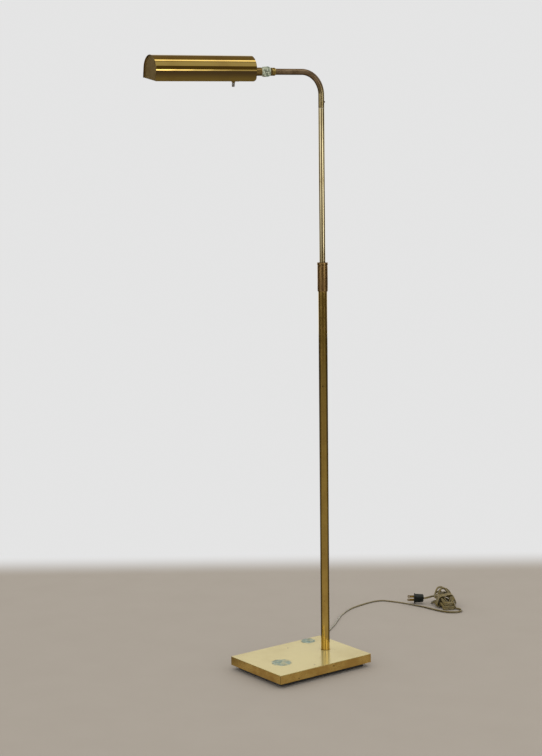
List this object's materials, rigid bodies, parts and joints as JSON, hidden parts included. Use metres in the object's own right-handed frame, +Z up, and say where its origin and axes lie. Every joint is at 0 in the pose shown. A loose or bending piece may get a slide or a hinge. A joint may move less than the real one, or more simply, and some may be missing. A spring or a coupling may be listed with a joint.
{
  "type": "adjustable floor lamp",
  "caption": "Brass reading floor lamp with a weighted rectangular base, telescoping pole, swinging arm, tilting knuckle, rolling trough shade, knob switch and a tied-up flat cord.",
  "frame": {"origin": "on the floor under the pole's axis, in the plane of the felt pad's underside", "axes": "+Z up along the pole, -X along the arm towards the shade's front, the base turned a few degrees about +Z"},
  "size_m": [0.9122, 0.4589, 1.312],
  "materials": {
    "felt": "dark felt pad",
    "black_iron": "blackened cast iron",
    "pale_brass": "polished pale brass with tarnish spots",
    "brass": "polished brass",
    "aged_brass": "aged brass, darker with handling",
    "bronze": "brown oxidised brass",
    "patina": "cast brass with green patina",
    "steel": "zinc-plated steel",
    "nylon": "natural nylon",
    "fibre": "brown fibre",
    "phenolic": "black phenolic",
    "gold_cord": "gold-brown vinyl",
    "black_plug": "moulded black",
    "bulb_metal": "bare metal",
    "bulb_glass": "frosted glass"
  },
  "bodies": {
    "stand": {"base_pad": "felt", "base_weight": "black_iron", "base_shell": "pale_brass", "foot_ring": "brass", "pole_tube": "aged_brass", "pole_plug": "aged_brass", "pole_stud": "steel", "pole_washer": "steel", "pole_nut": "steel", "collar_sleeve": "brass", "collar_bush": "nylon", "collar_ring": "brass", "cord_gland": "fibre", "cord_lead": "gold_cord", "cord_hank": "gold_cord", "cord_tie": "gold_cord", "cord_tail": "gold_cord", "plug_body": "black_plug", "plug_blades": "brass"},
    "riser": {"riser_tube": "pale_brass", "riser_guide": "nylon", "swing_spigot": "pale_brass", "swing_washer": "nylon"},
    "arm": {"arm_tube": "bronze", "swing_screw": "bronze", "arm_ferrule": "brass", "knuckle_arm": "patina", "knuckle_washer": "fibre", "knuckle_screw": "brass", "knuckle_nut": "brass"},
    "head": {"knuckle_head": "patina", "roll_screw": "steel"},
    "shade": {"shade_nipple": "steel", "shade_spacer": "brass", "shade_shell": "brass", "shade_front_cap": "aged_brass", "shade_rear_cap": "aged_brass", "shade_locknut": "steel", "socket_cap": "brass", "socket_body": "phenolic", "socket_thread": "brass", "socket_contact": "brass", "bulb_cap": "bulb_metal", "bulb_glass": "bulb_glass", "switch_housing": "phenolic", "switch_bush": "brass"},
    "switch": {"switch_stem": "steel", "switch_knob": "brass"}
  },
  "joints": [
    {"name": "pole_height", "type": "slide", "parent": "stand", "child": "riser", "axis": [0, 0, 1], "range_m": [-0.32, 0.075]},
    {"name": "arm_swing", "type": "hinge", "parent": "riser", "child": "arm", "pos_m": [0, 0, 1.2046], "axis": [0, 0, 1], "range_deg": [-170, 170]},
    {"name": "head_tilt", "type": "hinge", "parent": "arm", "child": "head", "pos_m": [-0.1337, 0, 1.2796], "axis": [0, 1, 0], "range_deg": [-90, 90]},
    {"name": "shade_roll", "type": "hinge", "parent": "head", "child": "shade", "pos_m": [-0.1488, 0, 1.2796], "axis": [1, 0, 0], "range_deg": [-169, 151]},
    {"name": "switch_turn", "type": "hinge", "parent": "shade", "child": "switch", "pos_m": [-0.2081, 0, 1.2796], "axis": [0, 0.1564, -0.9877], "continuous": true}
  ]
}
